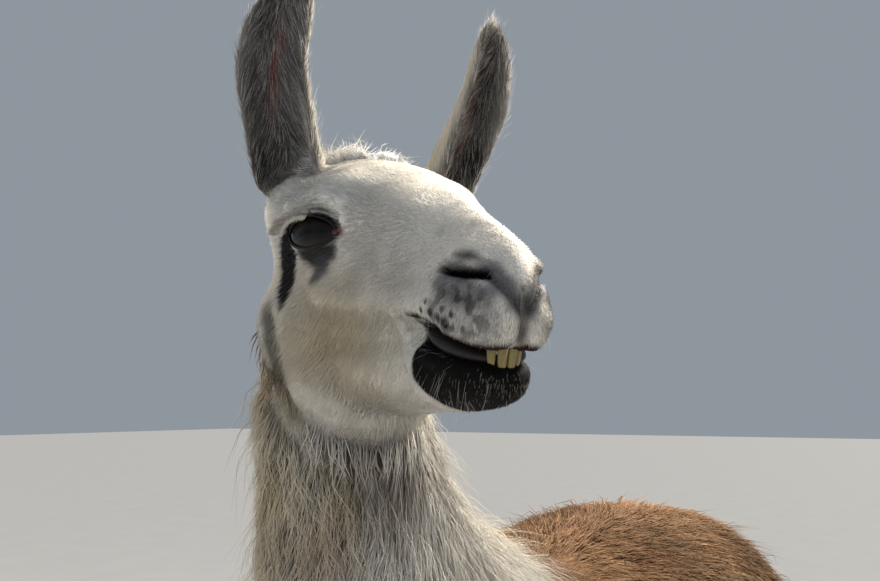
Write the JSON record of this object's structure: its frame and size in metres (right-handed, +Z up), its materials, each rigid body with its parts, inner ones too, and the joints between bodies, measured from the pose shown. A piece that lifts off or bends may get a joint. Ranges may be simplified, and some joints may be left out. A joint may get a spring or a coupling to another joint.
{
  "type": "llama",
  "caption": "Life-size still museum model of a standing llama with a long woolly coat, head raised and turned to its left, mouth a little open.",
  "frame": {"origin": "centre of the model's bounding box at floor level, between the four feet", "axes": "+Z up; the body faces -Y, so +X is the llama's left; the head is turned 54 degrees to the llama's left of the body"},
  "size_m": [0.6068, 1.4206, 1.7232],
  "materials": {
    "coat_white": "dry matt hair, white on the head and upper neck with grey-beige undertone",
    "coat_brown": "dry matt wool, caramel brown",
    "eye": "wet gloss, near black",
    "toenail_horn": "satin horn"
  },
  "bodies": {
    "root": {"head": "coat_white", "lower_jaw": "coat_white", "neck": "coat_white", "trunk": "coat_brown", "tail": "coat_brown", "ear_left": "coat_white", "eye_left": "eye", "front_leg_left": "coat_brown", "front_foot_left": "coat_brown", "toenail_front_left_inner": "toenail_horn", "toenail_front_left_outer": "toenail_horn", "hind_leg_left": "coat_brown", "hind_foot_left": "coat_brown", "toenail_hind_left_inner": "toenail_horn", "toenail_hind_left_outer": "toenail_horn", "ear_right": "coat_white", "eye_right": "eye", "front_leg_right": "coat_brown", "front_foot_right": "coat_brown", "toenail_front_right_inner": "toenail_horn", "toenail_front_right_outer": "toenail_horn", "hind_leg_right": "coat_brown", "hind_foot_right": "coat_brown", "toenail_hind_right_inner": "toenail_horn", "toenail_hind_right_outer": "toenail_horn"}
  },
  "joints": []
}
